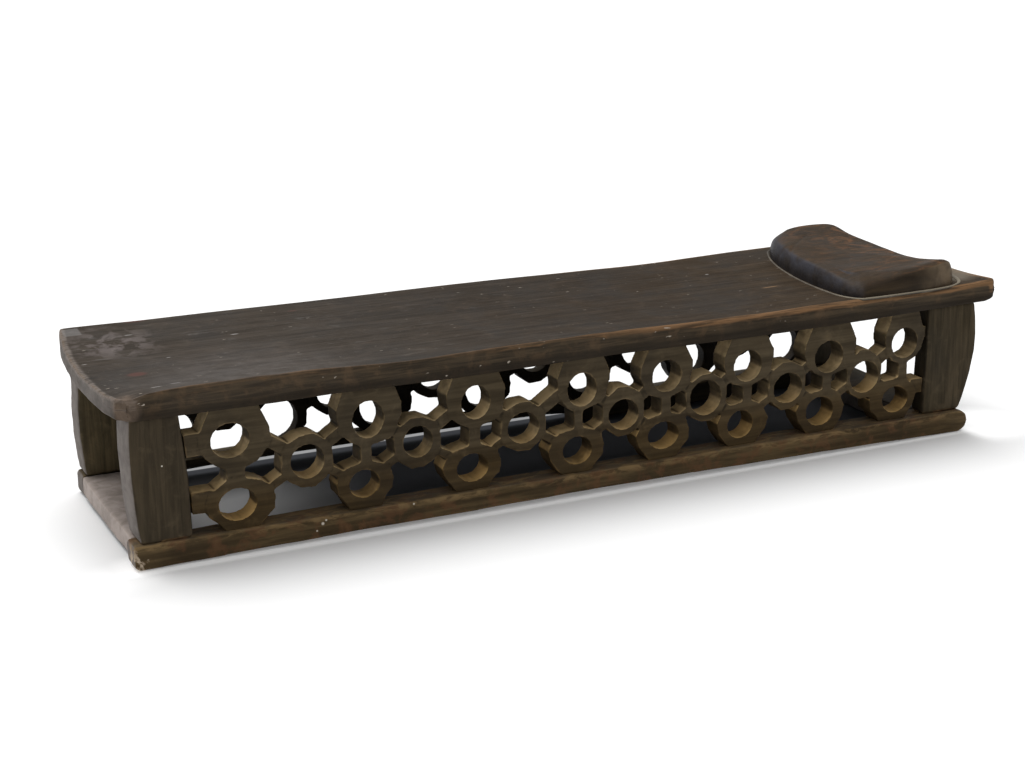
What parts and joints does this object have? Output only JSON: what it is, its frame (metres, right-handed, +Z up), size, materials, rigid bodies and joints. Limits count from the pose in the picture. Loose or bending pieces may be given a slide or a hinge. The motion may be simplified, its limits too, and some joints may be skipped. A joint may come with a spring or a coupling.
{
  "type": "carved wooden bed",
  "caption": "Low carved wooden bed with a dished sleeping board, a raised saddle-shaped headrest, pierced ring-lattice side walls, corner posts and an open floor frame.",
  "frame": {"origin": "middle of the bed's footprint, on the floor it stands on", "axes": "+X along the bed from the foot to the headrest, +Y from the eight-column front wall to the back wall, +Z up"},
  "size_m": [1.9679, 0.5232, 0.3908],
  "materials": {
    "board": "worn oiled dark hardwood, dusty grey on top, rubbed brown along the edges",
    "headrest": "rubbed dark hardwood with a low sheen and reddish streaks",
    "posts": "dull dark hardwood with adze marks",
    "rails": "dull dark hardwood, pale chips and dust on top",
    "front_lattice": "dull dark hardwood, ochre dust in the holes",
    "back_lattice": "dull dark hardwood, ochre dust in the holes"
  },
  "bodies": {
    "root": {"sleeping_board": "board", "headrest": "headrest", "front_left_post": "posts", "front_right_post": "posts", "back_left_post": "posts", "back_right_post": "posts", "front_rail": "rails", "back_rail": "rails", "left_end_plank": "rails", "right_end_plank": "rails", "front_ring_pair_1": "front_lattice", "front_ring_pair_2": "front_lattice", "front_ring_pair_3": "front_lattice", "front_ring_pair_4": "front_lattice", "front_ring_pair_5": "front_lattice", "front_ring_pair_6": "front_lattice", "front_ring_pair_7": "front_lattice", "front_ring_pair_8": "front_lattice", "front_middle_ring_1": "front_lattice", "front_middle_ring_2": "front_lattice", "front_middle_ring_3": "front_lattice", "front_middle_ring_4": "front_lattice", "front_middle_ring_5": "front_lattice", "front_middle_ring_6": "front_lattice", "front_middle_ring_7": "front_lattice", "back_ring_pair_1": "back_lattice", "back_ring_pair_2": "back_lattice", "back_ring_pair_3": "back_lattice", "back_ring_pair_4": "back_lattice", "back_ring_pair_5": "back_lattice", "back_ring_pair_6": "back_lattice", "back_ring_pair_7": "back_lattice", "back_middle_ring_1": "back_lattice", "back_middle_ring_2": "back_lattice", "back_middle_ring_3": "back_lattice", "back_middle_ring_4": "back_lattice", "back_middle_ring_5": "back_lattice", "back_middle_ring_6": "back_lattice"}
  },
  "joints": []
}
